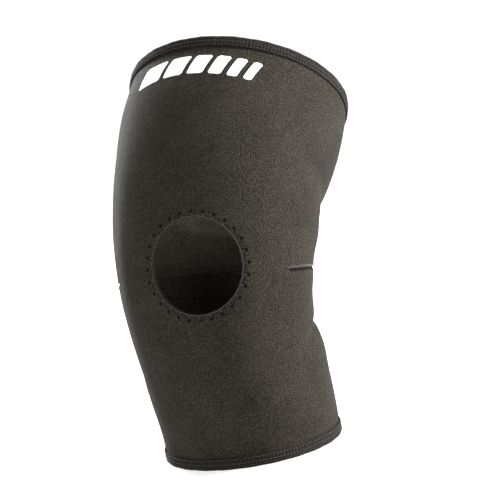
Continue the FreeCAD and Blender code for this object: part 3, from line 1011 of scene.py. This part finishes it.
foam_top = FACE + GLUE_GAP
foam_bottom = foam_top + FOAM
face = sheet_layer("sleeve_face", 1.35, 0.0, FACE, 1.0, 0.0)
core = sheet_layer("sleeve_core", 2.2, foam_top + 0.03, foam_bottom, 1.0, 0.35)
lining = sheet_layer("sleeve_lining", 1.6, foam_bottom + GLUE_GAP, SHEET, 0.35, 0.0)
settle(face, JERSEY, three_zones("outer_jersey"))
settle(core, FOAM_EDGE, three_zones("neoprene_core"))
settle(lining, LINING_KNIT, three_zones("lining"))

for end in ("calf", "thigh"):
    tape = settle(binding(end), TAPE_KNIT, [f"{end}_binding_tape"], end)
    for name, height in zip(("upper", "lower"), HEM_ROWS):
        row = hem_threads(end, height, name)
        settle(row, THREAD, [f"{end}_binding_{name}_stitching"], end)

for side, name in ((1, "right"), (-1, "left")):
    settle(dart_threads(side), DART_THREAD, [f"{name}_dart_stitching"])
settle(seam_threads(), THREAD, three_zones("back_seam_stitching"))
settle(opening_threads(), THREAD, ["patella_edge_stitching"])
settle(front_print(), FILM, ["front_print"], "thigh")
label = settle(care_label(), LABEL, ["care_label"], "thigh")


# ---- Studio ----

AZIMUTH = math.radians(23.8)
ELEVATION = math.radians(10.74)
ROLL = math.radians(-9.89)
DISTANCE = 1.94
VIEW_WIDTH = 0.315          # of the plane through the aim, across the whole picture
AIM = Vector((0.0, 0.0, 0.125))
AIM_RIGHT = 0.01835         # the camera stands this far to the right of the line through the aim
AIM_UP = 0.0028             # and this far above it


FLOOR_HALF = 20.0
FLOOR_GLOW = 0.60
ROOM_BRIGHTNESS = 0.85


def studio_floor():
    """A white table that is lit from within, as in a product photographer's studio."""
    mesh = bpy.data.meshes.new("floor")
    corners = [(x * FLOOR_HALF, y * FLOOR_HALF, 0) for x, y in ((-1, -1), (1, -1), (1, 1), (-1, 1))]
    mesh.from_pydata(corners, [], [(0, 1, 2, 3)])
    floor = bpy.data.objects.new("floor", mesh)
    bpy.context.scene.collection.objects.link(floor)
    n = Nodes("pale_floor")
    place = n.place()
    tone = n.noise(place, 0.004, 3.0)
    colour = n.blend(tone, (0.50, 0.50, 0.50), (0.53, 0.53, 0.53))
    floor.data.materials.append(n.finish(colour, tone, 0.0001, 0.9))
    n.shader.inputs["Emission Color"].default_value = (1, 1, 1, 1)
    n.shader.inputs["Emission Strength"].default_value = FLOOR_GLOW


def soft_strip(name, azimuth, elevation, distance, width, height, power):
    """An area light that faces the sleeve from a direction given like the camera's."""
    data = bpy.data.lights.new(name, "AREA")
    data.shape = "RECTANGLE"
    data.size, data.size_y = width, height
    data.energy = power
    light = bpy.data.objects.new(name, data)
    a, e = math.radians(azimuth), math.radians(elevation)
    way = Vector((math.sin(a) * math.cos(e), -math.cos(a) * math.cos(e), math.sin(e)))
    light.location = AIM + way * distance
    light.rotation_mode = "QUATERNION"
    light.rotation_quaternion = way.to_track_quat("Z", "Y")
    bpy.context.scene.collection.objects.link(light)


def white_room():
    world = bpy.data.worlds.new("white_room")
    world.use_nodes = True
    background = world.node_tree.nodes["Background"]
    background.inputs["Color"].default_value = (1, 1, 1, 1)
    background.inputs["Strength"].default_value = ROOM_BRIGHTNESS
    bpy.context.scene.world = world


def camera():
    back = Vector((
        math.sin(AZIMUTH) * math.cos(ELEVATION),
        -math.cos(AZIMUTH) * math.cos(ELEVATION),
        math.sin(ELEVATION),
    ))
    level = Vector((math.cos(AZIMUTH), math.sin(AZIMUTH), 0))
    upright = back.cross(level)
    right = level * math.cos(ROLL) + upright * math.sin(ROLL)
    up = upright * math.cos(ROLL) - level * math.sin(ROLL)
    data = bpy.data.cameras.new("camera")
    data.sensor_width = 36.0
    data.lens = DISTANCE / VIEW_WIDTH * data.sensor_width
    data.clip_start, data.clip_end = 0.05, 30.0
    made = bpy.data.objects.new("camera", data)
    turn = Matrix((right, up, back)).transposed().to_4x4()
    place = AIM + back * DISTANCE + right * AIM_RIGHT + up * AIM_UP
    made.matrix_world = Matrix.Translation(place) @ turn
    bpy.context.scene.collection.objects.link(made)
    bpy.context.scene.camera = made


studio_floor()
white_room()
# name, azimuth, elevation, distance, width, height, power
soft_strip("right_soft_light", 116, 20, 1.1, 0.3, 1.2, 50.0)
soft_strip("left_rim_light", -130, 14, 1.0, 0.15, 1.2, 22.0)
soft_strip("front_light", 0, 5, 1.2, 0.3, 0.3, 3.5)
camera()
bpy.context.scene.view_settings.view_transform = "Standard"

bpy.context.view_layer.update()
